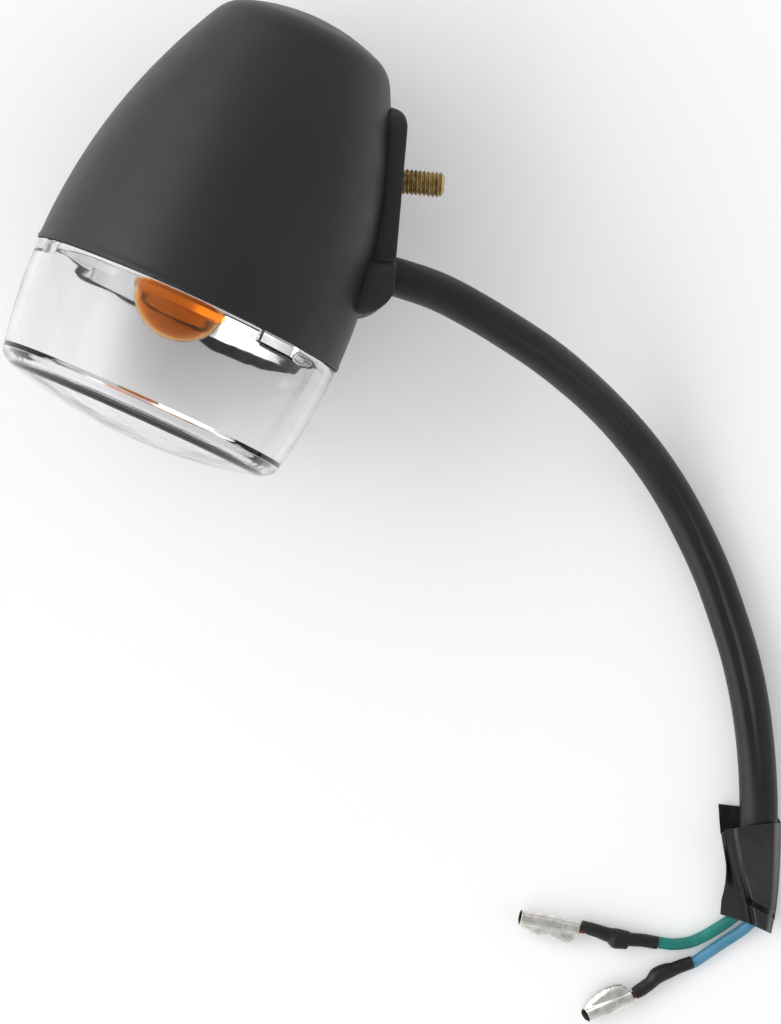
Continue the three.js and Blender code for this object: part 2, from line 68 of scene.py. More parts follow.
LENS_RADIUS = 30.6
LENS_DRAFT = 0.005
LENS_LENGTH = 27.4
LENS_DOME_RADIUS = 95.0
LENS_WALL = 1.8

TAB_COUNT = 3
TAB_ANGLE = math.radians(51)
TAB_WIDTH = 8.5
TAB_INNER = 26.9
TAB_OUTER = 27.8
RIB_DEPTH = 0.1

GLOBE_RADIUS = 9.55
GLASS_WALL = 0.6
GLOBE_CENTRE = -1.95
SOCKET_TOP = -14.5
BULB_LEAN = math.radians(7.5)
SPRING_TURNS = 2.25
SPRING_RADIUS = 4.6
SPRING_WIRE = 0.3
SPRING_FOOT = -37.05
SPRING_LENGTH = 4.7

STUD_Y = 9.05
STUD_TIP = 8.3
CORD_Y = -9.05
CORD_TURN = math.radians(10)


# ---------------------------------------------------------------- frames

MOUNT_TO_ROW = Matrix.Rotation(-NOSE_UP, 4, "X")
LAMP_TO_MOUNT = Matrix(
    (
        (math.cos(AXIS_LEAN), 0, -math.sin(AXIS_LEAN), MOUTH.x),
        (-math.sin(AXIS_LEAN), 0, -math.cos(AXIS_LEAN), MOUTH.y),
        (0, 1, 0, MOUTH.z),
        (0, 0, 0, 1),
    )
)
LAMP_TO_ROW = MOUNT_TO_ROW @ LAMP_TO_MOUNT
ROW_TO_LAMP = LAMP_TO_ROW.inverted()
ROW = Matrix.Identity(4)


def in_row(x, y):
    """A point at the mount frame's own height zero, in millimetres of the row's frame."""
    return MOUNT_TO_ROW @ Vector((x, y, 0))


# ---------------------------------------------------------------- camera

VIEW_DISTANCE = 650.0
VIEW_TARGET = Vector((4.15, -53.98, 0.0))
VIEW_LEAN_X = math.radians(4.792)
VIEW_LEAN_Y = math.radians(-6.356)
VIEW_ROLL = math.radians(5.557)
FOCAL = 119.26


def make_camera():
    """A long lens above the table, leaning a little from the vertical."""
    ahead = Vector((math.sin(VIEW_LEAN_X), math.sin(VIEW_LEAN_Y), -1)).normalized()
    level = ahead.cross(Vector((0, 1, 0))).normalized()
    top = level.cross(ahead)
    right = level * math.cos(VIEW_ROLL) + top * math.sin(VIEW_ROLL)
    up = top * math.cos(VIEW_ROLL) - level * math.sin(VIEW_ROLL)
    data = bpy.data.cameras.new("camera")
    data.lens = FOCAL
    data.sensor_width = 36
    data.clip_start = 0.01
    data.clip_end = 20
    camera = bpy.data.objects.new("camera", data)
    bpy.context.collection.objects.link(camera)
    spin = Matrix((right, up, -ahead)).transposed().to_4x4()
    camera.matrix_world = Matrix.Translation((VIEW_TARGET - ahead * VIEW_DISTANCE) * MM) @ spin
    bpy.context.scene.camera = camera


# ---------------------------------------------------------------- mesh helpers


def link_mesh(name, mesh, sharp_angle=40):
    mesh.validate()
    mesh.shade_smooth()
    mesh.set_sharp_from_angle(angle=math.radians(sharp_angle))
    obj = bpy.data.objects.new(name, mesh)
    bpy.context.collection.objects.link(obj)
    return obj


def build(name, points, faces, matrix=ROW, sharp_angle=40):
    """A mesh object from points in millimetres of the frame that matrix takes to the row."""
    mesh = bpy.data.meshes.new(name)
    mesh.from_pydata([(matrix @ Vector(p)) * MM for p in points], [], faces)
    bm = bmesh.new()
    bm.from_mesh(mesh)
    bmesh.ops.remove_doubles(bm, verts=bm.verts, dist=2e-6)
    bmesh.ops.recalc_face_normals(bm, faces=bm.faces)
    bm.to_mesh(mesh)
    bm.free()
    return link_mesh(name, mesh, sharp_angle)


def grid_faces(rows, columns, around=True, along=False):
    """Quads over rows of points. around closes each row, along joins the last row to the first."""
    faces = []
    for i in range(rows if along else rows - 1):
        for j in range(columns if around else columns - 1):
            a = i * columns + j
            b = i * columns + (j + 1) % columns
            c = ((i + 1) % rows) * columns + (j + 1) % columns
            d = ((i + 1) % rows) * columns + j
            faces.append((a, b, c, d))
    return faces


def capped_faces(rows, sides):
    """The faces of a tube of rings, with one more across each end."""
    last = (rows - 1) * sides
    ends = [tuple(range(sides))[::-1], tuple(last + j for j in range(sides))]
    return grid_faces(rows, sides) + ends


def spread(low, high, count):
    """Evenly spaced numbers from low to high."""
    return [low + (high - low) * i / (count - 1) for i in range(count)]


def mix(a, b, t):
    return a + (b - a) * t


def smooth(low, high, value):
    """0 at low and 1 at high, with a smooth step between. low may be the greater one."""
    t = min(1.0, max(0.0, (value - low) / (high - low)))
    return t * t * (3 - 2 * t)


def full_turn(count):
    return [2 * math.pi * j / count for j in range(count)]


def turned(name, turns, sections, matrix=LAMP_TO_ROW, ring=False, sharp_angle=40):
    """A body round +Z, from the (radius, height) points of its section at each angle."""
    points = []
    for row in zip(*sections):
        for turn, (radius, height) in zip(turns, row):
            points.append((radius * math.cos(turn), radius * math.sin(turn), height))
    faces = grid_faces(len(sections[0]), len(turns), along=ring)
    return build(name, points, faces, matrix, sharp_angle)


def spline_point(a, b, c, d, t):
    """A point between b and c on the smooth curve through a, b, c and d."""
    linear = (c - a) * t
    square = (a * 2 - b * 5 + c * 4 - d) * t**2
    cube = (b * 3 - a - c * 3 + d) * t**3
    return (b * 2 + linear + square + cube) * 0.5


def curve_through(points, count):
    """Evenly spaced points on a smooth curve through the given ones."""
    p = [Vector(q) for q in points]
    p = [p[0] * 2 - p[1]] + p + [p[-1] * 2 - p[-2]]
    steps = 24
    fine = []
    for four in zip(p, p[1:], p[2:], p[3:]):
        for k in range(steps):
            fine.append(spline_point(*four, k / steps))
    fine.append(p[-2])
    travelled = [0.0]
    for a, b in zip(fine, fine[1:]):
        travelled.append(travelled[-1] + (b - a).length)
    out = []
    i = 0
    for s in spread(0, travelled[-1], count):
        while i < len(fine) - 2 and travelled[i + 1] < s:
            i += 1
        step = travelled[i + 1] - travelled[i]
        out.append(fine[i].lerp(fine[i + 1], (s - travelled[i]) / step if step else 0))
    return out


def frames_along(line, up=Vector((0, 0, 1))):
    """A sideways and an upward direction at each point of a line."""
    out = []
    for i in range(len(line)):
        tangent = (line[min(i + 1, len(line) - 1)] - line[max(i - 1, 0)]).normalized()
        side = tangent.cross(up).normalized()
        out.append((side, side.cross(tangent)))
    return out


def sweep(name, line, section, sides=48, matrix=ROW):
    """A capped tube along a line. section(t, turn) gives its sideways and upward reach."""
    points = []
    for i, (centre, (side, up)) in enumerate(zip(line, frames_along(line))):
        for turn in full_turn(sides):
            x, y = section(i / (len(line) - 1), turn)
            points.append(centre + side * x + up * y)
    return build(name, points, capped_faces(len(line), sides), matrix)


def round_section(radius):
    return lambda t, turn: (radius * math.cos(turn), radius * math.sin(turn))


def join(name, *objects):
    """One object from several."""
    bm = bmesh.new()
    for obj in objects:
        bm.from_mesh(obj.data)
        bpy.data.objects.remove(obj)
    mesh = bpy.data.meshes.new(name)
    bm.to_mesh(mesh)
    bm.free()
    return link_mesh(name, mesh)


def apply_modifiers(obj):
    """Turns what an object's modifiers make into its own mesh."""
    graph = bpy.context.evaluated_depsgraph_get()
    mesh = bpy.data.meshes.new_from_object(obj.evaluated_get(graph))
    obj.modifiers.clear()
    obj.data = mesh
    return obj


# ---------------------------------------------------------------- materials


def new_material(name):
    material = bpy.data.materials.new(name)
    material.use_nodes = True
    return material, material.node_tree, material.node_tree.nodes["Principled BSDF"]


def texture_space(tree):
    """Coordinates that stay on the object, in metres."""
    return tree.nodes.new("ShaderNodeTexCoord").outputs["Object"]


def noise_field(tree, space, scale, detail=4.0, roughness=0.5):
    node = tree.nodes.new("ShaderNodeTexNoise")
    node.inputs["Scale"].default_value = scale
    node.inputs["Detail"].default_value = detail
    node.inputs["Roughness"].default_value = roughness
    tree.links.new(space, node.inputs["Vector"])
    return node.outputs["Fac"]


def between(tree, value, low, high):
    """Spreads a noise field, which seldom leaves 0.3 to 0.7, over low to high."""
    node = tree.nodes.new("ShaderNodeMapRange")
    node.inputs["From Min"].default_value = 0.3
    node.inputs["From Max"].default_value = 0.7
    node.inputs["To Min"].default_value = low
    node.inputs["To Max"].default_value = high
    tree.links.new(value, node.inputs["Value"])
    return node.outputs["Result"]


def shades(tree, value, *stops):
    """Colours a field by (place, colour) stops."""
    node = tree.nodes.new("ShaderNodeValToRGB")
    ramp = node.color_ramp
    while len(ramp.elements) < len(stops):
        ramp.elements.new(0.5)
    for element, (place, colour) in zip(ramp.elements, stops):
        element.position = place
        element.color = (*colour, 1)
    tree.links.new(value, node.inputs["Fac"])
    return node.outputs["Color"]


def bump(tree, shader, heights):
    """Chains bumps of (field, distance in millimetres) into the shader's normal."""
    normal = None
    for field, distance in heights:
        node = tree.nodes.new("ShaderNodeBump")
        node.inputs["Strength"].default_value = 1.0
        node.inputs["Distance"].default_value = distance * MM
        tree.links.new(field, node.inputs["Height"])
        if normal:
            tree.links.new(normal, node.inputs["Normal"])
        normal = node.outputs["Normal"]
    tree.links.new(normal, shader.inputs["Normal"])


def moulded(name, dark, light, rough, patch, grain=2500, grain_depth=0.012, **sockets):
    """A moulded or extruded polymer: mottled colour and roughness, fine grain."""
    material, tree, shader = new_material(name)
    space = texture_space(tree)
    broad = noise_field(tree, space, patch, 5)
    fine = noise_field(tree, space, grain, 3, 0.6)
    tree.links.new(shades(tree, broad, (0.3, dark), (0.7, light)), shader.inputs["Base Color"])
    rough_field = noise_field(tree, space, patch * 6, 5, 0.65)
    tree.links.new(between(tree, rough_field, *rough), shader.inputs["Roughness"])
    bump(tree, shader, [(broad, 0.03), (fine, grain_depth)])
    for socket, value in sockets.items():
        shader.inputs[socket.replace("_", " ")].default_value = value
    return material


def metal(name, dark, light, rough, scratch=900, depth=0.006, patch=250):
    """A plated or drawn metal: mottled tone, fine scratches."""
    material, tree, shader = new_material(name)
    space = texture_space(tree)
    broad = noise_field(tree, space, patch, 6, 0.6)
    fine = noise_field(tree, space, scratch, 6, 0.7)
    tree.links.new(shades(tree, broad, (0.32, dark), (0.68, light)), shader.inputs["Base Color"])
    tree.links.new(between(tree, fine, *rough), shader.inputs["Roughness"])
    bump(tree, shader, [(fine, depth)])
    shader.inputs["Metallic"].default_value = 1.0
    return material


def clear(name, tint, rough, ior, wave=0.02, glare=1.0):
    """A clear moulding: faintly uneven in thickness and polish."""
    material, tree, shader = new_material(name)
    space = texture_space(tree)
    broad = noise_field(tree, space, 90, 3)
    polish = noise_field(tree, space, 450, 4)
    paler = tuple(min(1, c * 1.02) for c in tint)
    tree.links.new(shades(tree, broad, (0.3, tint), (0.7, paler)), shader.inputs["Base Color"])
    tree.links.new(between(tree, polish, *rough), shader.inputs["Roughness"])
    bump(tree, shader, [(broad, wave)])
    shader.inputs["Transmission Weight"].default_value = 1.0
    shader.inputs["IOR"].default_value = ior
    shader.inputs["Specular Tint"].default_value = (glare, glare, glare, 1)
    return material


HOUSING_PLASTIC = moulded("housing_plastic", (0.0105, 0.011, 0.013), (0.015, 0.016, 0.0185),
                          (0.38, 0.48), grain=2200, grain_depth=0.01, patch=45,
                          Specular_IOR_Level=0.4)
PAD_RUBBER = moulded("pad_rubber", (0.008, 0.008, 0.0095), (0.014, 0.014, 0.0165), (0.5, 0.64),
                     grain=1600, grain_depth=0.02, patch=120)
SEAL_RUBBER = moulded("seal_rubber", (0.007, 0.007, 0.008), (0.012, 0.012, 0.014), (0.55, 0.7),
                      grain=1800, grain_depth=0.015, patch=160)
SLEEVE_VINYL = moulded("sleeve_vinyl", (0.006, 0.006, 0.0075), (0.012, 0.0122, 0.0155), (0.34, 0.48),
                       grain=900, grain_depth=0.02, patch=140, Specular_IOR_Level=0.38)
TAPE_VINYL = moulded("tape_vinyl", (0.010, 0.010, 0.012), (0.019, 0.019, 0.022), (0.30, 0.44),
                     grain=1200, grain_depth=0.02, patch=200)
BOOT_VINYL = moulded("boot_vinyl", (0.0045, 0.004, 0.004), (0.014, 0.012, 0.012), (0.34, 0.6),
                     grain=900, grain_depth=0.06, patch=320, Specular_IOR_Level=0.4)
GREEN_VINYL = moulded("green_vinyl", (0.003, 0.15, 0.125), (0.006, 0.22, 0.18), (0.34, 0.46),
                      grain=1400, grain_depth=0.01, patch=220)
BLUE_VINYL = moulded("blue_vinyl", (0.06, 0.23, 0.36), (0.09, 0.30, 0.45), (0.3, 0.42),
                     grain=1400, grain_depth=0.01, patch=220)
PHENOLIC = moulded("phenolic", (0.09, 0.035, 0.016), (0.16, 0.07, 0.03), (0.5, 0.7), patch=400)
BLACK_GLASS = moulded("black_glass", (0.008, 0.008, 0.009), (0.014, 0.014, 0.016), (0.08, 0.2),
                      grain_depth=0.003, patch=300)

SILVERED = metal("silvered", (0.80, 0.81, 0.82), (0.90, 0.905, 0.91), (0.06, 0.16), scratch=500,
                 depth=0.002, patch=80)
ZINC = metal("zinc", (0.42, 0.44, 0.46), (0.62, 0.63, 0.62), (0.28, 0.45))
YELLOW_ZINC = metal("yellow_zinc", (0.26, 0.17, 0.065), (0.56, 0.44, 0.22), (0.28, 0.46),
                    scratch=1400, depth=0.006, patch=700)
NICKEL = metal("nickel", (0.52, 0.48, 0.40), (0.68, 0.64, 0.55), (0.22, 0.38))
BRASS = metal("brass", (0.46, 0.30, 0.10), (0.68, 0.50, 0.22), (0.25, 0.42))
SOLDER = metal("solder", (0.30, 0.31, 0.32), (0.50, 0.51, 0.52), (0.35, 0.55), patch=700)
TUNGSTEN = metal("tungsten", (0.14, 0.14, 0.15), (0.26, 0.26, 0.27), (0.4, 0.6), patch=900)
TIN_PLATE = metal("tin_plate", (0.58, 0.56, 0.51), (0.93, 0.91, 0.87), (0.1, 0.28), scratch=900,
                  depth=0.008, patch=420)
# Painted shade: a dark metal for the inner faces of the terminal barrels, where shade falls in the
# hollow.
BARREL_SHADE = metal("painted_barrel_shade", (0.035, 0.03, 0.028), (0.09, 0.08, 0.07), (0.4, 0.6), patch=700)
COPPER = metal("copper", (0.13, 0.035, 0.014), (0.34, 0.12, 0.05), (0.35, 0.55), patch=900)

LENS_CLEAR = clear("lens_clear", (0.955, 0.955, 0.96), (0.02, 0.06), ior=1.49, wave=0.05,
                   glare=0.3)
STEM_GLASS = clear("stem_glass", (0.93, 0.95, 0.95), (0.03, 0.08), ior=1.52)
AMBER_GLASS = clear("amber_glass", (0.90, 0.42, 0.06), (0.05, 0.12), ior=1.2, wave=0.01,
                    glare=0.6)


def dress(obj, material, body, replaced):
    """Gives a piece its material and body, and hides the CAD node that it stands for."""
    obj.data.materials.clear()
    obj.data.materials.append(material)
    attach(obj, body)
    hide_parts(replaced)


# ---------------------------------------------------------------- cord

SLEEVE_RADIUS = 3.7
SLEEVE_IN_PAD = 6
WIRE_RADIUS = 1.2
CREASE_TURN = 1.5
CREASE_DRIFT = 0.25
CREASE_WIDTH = 0.2
CREASE_DEPTH = 0.2

SLEEVE_ROUTE = [
    in_row(-SLEEVE_IN_PAD * math.cos(CORD_TURN), CORD_Y + SLEEVE_IN_PAD * math.sin(CORD_TURN)),
    in_row(0, CORD_Y),
    (8.7, -11.0, 1.1),
    (16.9, -14.3, 0.1),
    (24.7, -18.1, -2.5),
    (31.9, -22.0, -6.1),
    (38.6, -26.3, -10.3),
    (44.9, -30.9, -14.6),
    (51.0, -36.0, -18.6),
    (56.9, -41.8, -22.0),
    (62.4, -48.3, -24.5),
    (67.5, -55.7, -25.6),
    (72.0, -63.4, -25.6),
    (75.9, -71.4, -25.6),
    (79.5, -79.7, -25.6),
    (82.3, -88.1, -25.6),
    (84.5, -96.8, -25.6),
    (86.1, -105.6, -25.5),
    (86.9, -112.0, -25.35),
    (87.3, -117.0, -25.3),
]
GREEN_ROUTE = [
    (86.2, -131.2, -27.6),
    (84.9, -133.3, -27.8),
    (83.0, -135.2, -27.9),
    (80.3, -137.3, -28.0),
    (78.1, -138.8, -28.1),
    (75.8, -139.9, -28.1),
    (72.5, -140.5, -28.1),
    (69.2, -140.3, -28.1),
    (66.4, -140.1, -27.8),
    (63.5, -140.0, -27.5),
    (60.4, -139.6, -27.4),
    (57.4, -138.9, -27.4),
]
BLUE_ROUTE = [
    (89.6, -131.6, -27.6),
    (88.6, -134.0, -27.8),
    (87.0, -136.0, -27.9),
    (84.9, -137.8, -28.0),
    (82.4, -139.8, -28.1),
    (79.7, -142.0, -28.1),
    (77.0, -144.1, -28.1),
    (73.6, -145.4, -27.8),
    (70.6, -147.0, -27.6),
    (68.4, -149.1, -27.5),
    (66.8, -150.4, -27.4),
]


def crease_depth(t, turn):
    """How deep the crease along the sleeve's top is, as a part of its radius. It wanders a bit."""
    middle = CREASE_TURN + CREASE_DRIFT * noise.noise(Vector((t * 3, 4.0, 1.0)))
    fade = smooth(0.1, 0.25, t) * smooth(0.98, 0.75, t)
    return CREASE_DEPTH * (fade * math.exp(-(((turn - middle) / CREASE_WIDTH) ** 2)))


def sleeve_section(t, turn):
    flat = 0.05 * smooth(0.35, 0.6, t)
    uneven = noise.noise(Vector((math.cos(turn) * 1.6, math.sin(turn) * 1.6, t * 9)))
    reach = SLEEVE_RADIUS * (1 + 0.022 * uneven - crease_depth(t, turn))
    return reach * (1 + flat) * math.cos(turn), reach * (1 - flat) * math.sin(turn)


def make_sleeve():
    """The vinyl sleeve, a little flattened where it lies."""
    line = curve_through(SLEEVE_ROUTE, 200)
    return sweep("cord_sleeve", line, sleeve_section, 64), line


def make_wire(name, route):
    line = curve_through(route, 60)
    return sweep(name, line, round_section(WIRE_RADIUS), 24), line


make_camera()
sleeve, sleeve_line = make_sleeve()
dress(sleeve, SLEEVE_VINYL, "housing", "cable_sleeve")
green_wire, green_line = make_wire("wire_green_insulation", GREEN_ROUTE)
dress(green_wire, GREEN_VINYL, "housing", "wire_green")
blue_wire, blue_line = make_wire("wire_blue_insulation", BLUE_ROUTE)
dress(blue_wire, BLUE_VINYL, "housing", "wire_blue")


# ---------------------------------------------------------------- housing


def housing_radius(depth):
    return MOUTH_RADIUS - TAPER_RATE * depth**TAPER_POWER


def dome_depth(radius, dome_radius, length):
    """How far out a dome is at a radius, when its middle is at length."""
    return length - dome_radius + math.sqrt(dome_radius**2 - radius**2)


def tail_corner(t):
    """A rounded corner from the bullet's side to its tail dome."""
    start = (housing_radius(SIDE_END), -SIDE_END)
    middle = (16.92, -55.42)
    end = (TAIL_FLAT, -dome_depth(TAIL_FLAT, TAIL_DOME_RADIUS, HOUSING_LENGTH))
    return tuple((1 - t) ** 2 * a + 2 * t * (1 - t) * b + t * t * c
                 for a, b, c in zip(start, middle, end))


def make_housing():
    """The bullet, from the inside of its tail round the mouth's groove and lip to the outside."""
    inner = [(0.02, WALL - HOUSING_LENGTH), (8, -56.1), (13, -54.6)]
    inner += [(min(28.4, housing_radius(d) - WALL), -d) for d in spread(50, 1.25, 24)]
    groove = [(30.2, -1.25), (30.3, -1.15), (30.35, -0.15), (30.45, -0.02)]
    lip = [(30.6, 0), (30.85, -0.03), (30.95, -0.15), (30.97, -0.75), (30.9, -1.0), (30.8, -1.25)]
    side = [(housing_radius(d), -d) for d in spread(2, SIDE_END, 60)]
    corner = [tail_corner(t) for t in spread(0.1, 1, 10)]
    dome = [(r, -dome_depth(r, TAIL_DOME_RADIUS, HOUSING_LENGTH)) for r in spread(14, 0.02, 12)]
    profile = inner + groove + lip + side + corner + dome
    segments = 192
    return turned("housing_shell", full_turn(segments), [profile] * segments, sharp_angle=50)


dress(make_housing(), HOUSING_PLASTIC, "housing", "housing")


# ---------------------------------------------------------------- lens and seal


def lens_side(height):
    return LENS_RADIUS - LENS_DRAFT * height**2


def arc(centre, radius, low, high, count):
    """Points on an arc, with its angles in degrees."""
    return [(centre[0] + radius * math.cos(a), centre[1] + radius * math.sin(a))
            for a in spread(math.radians(low), math.radians(high), count)]


def lens_profile(tab, rib):
    """The lens section from inside its front to outside it.

    tab is 1 at a tab and 0 elsewhere. rib is how far a groove goes into the tab's inner side.
    """
    inner_length = LENS_LENGTH - LENS_WALL
    inner_dome = [(r, dome_depth(r, LENS_DOME_RADIUS, inner_length)) for r in spread(0.02, 24.9, 16)]
    inner_corner = arc((25.05, 20.65), 2.3, 84, 8, 10)
    inner_side = [(lens_side(z) - LENS_WALL, z) for z in spread(19.9, 3.0, 14)]
    wall = LENS_RADIUS - LENS_WALL
    foot = [
        (wall, 2.7),
        (mix(wall, 27.4, tab), mix(2.0, 2.4, tab)),
        (mix(wall, TAB_INNER + rib, tab), mix(1.6, 2.0, tab)),
        (mix(wall, TAB_INNER + rib, tab), mix(0.35, -3.5, tab)),
        (mix(wall + 0.03, TAB_INNER + 0.1 + rib, tab), mix(0.25, -3.6, tab)),
        (mix(wall + 0.06, TAB_OUTER - 0.07, tab), mix(0.15, -3.6, tab)),
        (mix(wall + 0.1, TAB_OUTER, tab), mix(0.1, -3.5, tab)),
        (mix(wall + 0.15, TAB_OUTER + 0.1, tab), 0.1),
    ]
    base = [(30.3, 0.1), (30.5, 0.2)]
    side = [(lens_side(z), z) for z in spread(0.5, 20.4, 30)]
    corner = arc((25.5, 20.6), 2.95, 0, 74, 12)
    dome = [(r, dome_depth(r, LENS_DOME_RADIUS, LENS_LENGTH)) for r in spread(26.0, 0.02, 18)]
    return inner_dome + inner_corner + inner_side + foot + base + side + corner + dome


def tab_turns(half, edge):
    """Angles round the mouth, each with whether it lies within half of a tab's middle.

    The step between the two kinds takes an angle of edge.
    """
    step = 2 * math.pi / TAB_COUNT
    turns = []
    for k in range(TAB_COUNT):
        centre = TAB_ANGLE + k * step
        turns += [(centre + a, True) for a in spread(-half + edge, half - edge, 17)]
        turns += [(centre + a, False) for a in spread(half, step - half, 46)]
    return turns


def make_lens():
    turns = tab_turns(math.asin(TAB_WIDTH / 2 / TAB_OUTER), math.radians(0.25))
    sections = [lens_profile(int(at_tab), RIB_DEPTH * (k % 2))
                for k, (_, at_tab) in enumerate(turns)]
    return turned("lens_cup", [turn for turn, _ in turns], sections, sharp_angle=35)


dress(make_lens(), LENS_CLEAR, "lens", "lens")

RIM_LOW = 0.3
RIM_HIGH = 2.1
SEAL_SECTION = [(28.4, -0.15), (28.6, -1.1), (30.15, -1.1), (30.2, -1.0), (30.2, -0.15),
                (30.1, -0.05), (28.5, -0.05)]


def drooping(turn):
    """1 on the lamp's underside, where the rim and the lip stand out furthest, 0 above."""
    if math.cos(turn) > 0:
        return smooth(0.05, -0.5, math.sin(turn))
    return smooth(-0.3, -0.62, math.sin(turn))


def rim_height(turn):
    """How far the reflector's rim stands over the housing's mouth."""
    return mix(RIM_LOW, RIM_HIGH, drooping(turn))


def lip_height(turn):
    """How far the seal's inner lip stands over the reflector's rim: it is squeezed up below."""
    side = math.cos(turn)
    swell = 1.2 * smooth(0.05, 0.35, side) * smooth(0.95, 0.65, side)
    wave = noise.noise(Vector((5 * math.cos(turn), 5 * math.sin(turn), 0.4)))
    return drooping(turn) ** 0.5 * (mix(0.6, 1.0, smooth(-0.2, 0.2, side)) + swell + 0.4 * wave)


def lip_section(turn):
    top = rim_height(turn) + lip_height(turn)
    return [
        (26.86, -0.02), (26.86, top * 0.6), (26.82, top - 0.06), (26.74, top), (26.62, top - 0.05),
        (26.54, top * 0.6), (26.52, -0.02),
    ]


def make_seal():
    """A rubber ring in the groove, and its thin inner lip round the reflector's rim."""
    turns = full_turn(256)
    outer = turned("seal_outer", turns, [SEAL_SECTION] * len(turns), ring=True)
    lip = turned("seal_lip", turns, [lip_section(turn) for turn in turns], ring=True)
    return join("seal_ring", outer, lip)


dress(make_seal(), SEAL_RUBBER, "housing", "lens_seal")


# ---------------------------------------------------------------- reflector

REFLECTOR_RIM = 25.7
REFLECTOR_NECK = 8.95
REFLECTOR_TOP = -0.2
REFLECTOR_BOTTOM = -14.2
REFLECTOR_WALL = 1.1
BOWL_RATE = (REFLECTOR_TOP - REFLECTOR_BOTTOM) / (REFLECTOR_RIM**2 - REFLECTOR_NECK**2)
BOWL_VERTEX = REFLECTOR_BOTTOM - BOWL_RATE * REFLECTOR_NECK**2
NOTCH_PLAY = 0.8


def bowl_height(radius):
    return BOWL_VERTEX + BOWL_RATE * radius * radius


def behind_bowl(radius):
    """A point on the bowl's back, square to its face at a radius."""
    slope = math.atan(2 * BOWL_RATE * radius)
    return (radius + REFLECTOR_WALL * math.sin(slope),
            bowl_height(radius) - REFLECTOR_WALL * math.cos(slope))


def reflector_section(at_tab, stand):
    """The bowl's face, its standing bead, the flange that is notched at a tab, and the back."""
    face = [(r, bowl_height(r)) for r in spread(REFLECTOR_NECK, REFLECTOR_RIM, 40)]
    bead = [(25.9, 0.0), (26.0, 0.25 * stand), (26.06, 0.8 * stand), (26.14, 0.95 * stand),
            (26.27, stand), (26.4, 0.95 * stand), (26.44, 0.8 * stand), (26.45, -0.05)]
    rim = 26.7 if at_tab else 28.1
    flange = [(rim - 0.1, -0.12), (rim, -0.25), (rim, -1.1), (26.3, -1.2)]
    back = [behind_bowl(r) for r in spread(25, 12, 20)]
    collar = [(11.5, -16), (11.5, -19.6), (REFLECTOR_NECK, -19.6)]
    return face + bead + flange + back + collar


def make_reflector():
    turns = tab_turns(math.asin((TAB_WIDTH + NOTCH_PLAY) / 2 / TAB_OUTER), 0.004)
    sections = [reflector_section(at_tab, rim_height(turn)) for turn, at_tab in turns]
    return turned("reflector_bowl", [turn for turn, _ in turns], sections, ring=True, sharp_angle=30)


dress(make_reflector(), SILVERED, "housing", "reflector")


# ---------------------------------------------------------------- bulb


def leaning(matrix):
    """The bulb leans a little in its socket, away from the mounting pad."""
    lean = Matrix.Translation((0, 0, SOCKET_TOP)) @ Matrix.Rotation(-BULB_LEAN, 4, "Y")
    return matrix @ lean @ Matrix.Translation((0, 0, -SOCKET_TOP))


def globe_arc(radius, low, high):
    return [(abs(r), z) for r, z in arc((0, GLOBE_CENTRE), radius, low, high, 40)]


def make_globe():
    """The glass: up the outside from its neck, and back down the inside."""
    lowest, top = -43, 89.9
    outer = globe_arc(GLOBE_RADIUS, lowest, top)
    inner = globe_arc(GLOBE_RADIUS - GLASS_WALL, top, lowest)
    neck_out = [(6.95, -14), (6.95, -9.6), (6.92, -9.1)]
    neck_in = [(6.32, -9.2), (6.35, -14)]
    profile = neck_out + outer + inner + neck_in
    segments = 96
    return turned("bulb_globe", full_turn(segments), [profile] * segments, leaning(LAMP_TO_ROW),
                  ring=True, sharp_angle=60)


def make_filament():
    """A coil hung in an arc between its two supports."""
    hang = [(-3.2, 0, -3.1), (-2, 0, -2.2), (0, 0, -1.8), (2, 0, -2.2), (3.2, 0, -3.1)]
    coil_radius, wire_radius, per_turn = 0.24, 0.055, 10
    line = curve_through(hang, 240)
    coil = []
    for i, (p, (side, up)) in enumerate(zip(line, frames_along(line, Vector((0, 1, 0))))):
        turn = i * 2 * math.pi / per_turn
        coil.append(p + (side * math.cos(turn) + up * math.sin(turn)) * coil_radius)
    return sweep("filament_coil", coil, round_section(wire_radius), 6, leaning(LAMP_TO_ROW))


def make_spring():
    """The coil behind the contact carriage: it is squeezed as the bulb is pushed in."""
    line = []
    for t in spread(0, 1, 120):
        turn = 2 * math.pi * SPRING_TURNS * t
        height = SPRING_FOOT + SPRING_WIRE + (SPRING_LENGTH - 2 * SPRING_WIRE) * t
        line.append(Vector((SPRING_RADIUS * math.cos(turn), SPRING_RADIUS * math.sin(turn), height)))
    spring = sweep("contact_coil", line, round_section(SPRING_WIRE), 14, LAMP_TO_ROW)
    dress(spring, ZINC, "housing", "contact_spring")
    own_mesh(spring)


dress(make_globe(), AMBER_GLASS, "bulb", "bulb_glass")
dress(make_filament(), TUNGSTEN, "bulb", "bulb_filament")
make_spring()


# ---------------------------------------------------------------- mounting pad and stud

SEAT_REACH = 1.5
SEAT_DEPTH = 0.75
THREAD_PITCH = 0.8
THREAD_MINOR = 2.06
THREAD_MAJOR = 2.45
THREAD_FLAT = 0.12
THREAD_RISE = 0.7
TIP_RADIUS = 1.75
TIP_SLOPE = 1.05
HEAD_FRONT = -9.9


def seat(pad):
    """Presses the pad's inner side a little into the housing's, so that no gap shows."""
    for vertex in pad.data.vertices:
        place = ROW_TO_LAMP @ (vertex.co / MM)
        radius = math.hypot(place.x, place.y)
        clearance = radius - housing_radius(max(0.0, -place.z))
        if clearance < SEAT_REACH:
            wanted = clearance - SEAT_DEPTH * (1 - smooth(0.5, SEAT_REACH, clearance))
            scale = (radius + wanted - clearance) / radius
            vertex.co = LAMP_TO_ROW @ Vector((place.x * scale, place.y * scale, place.z)) * MM


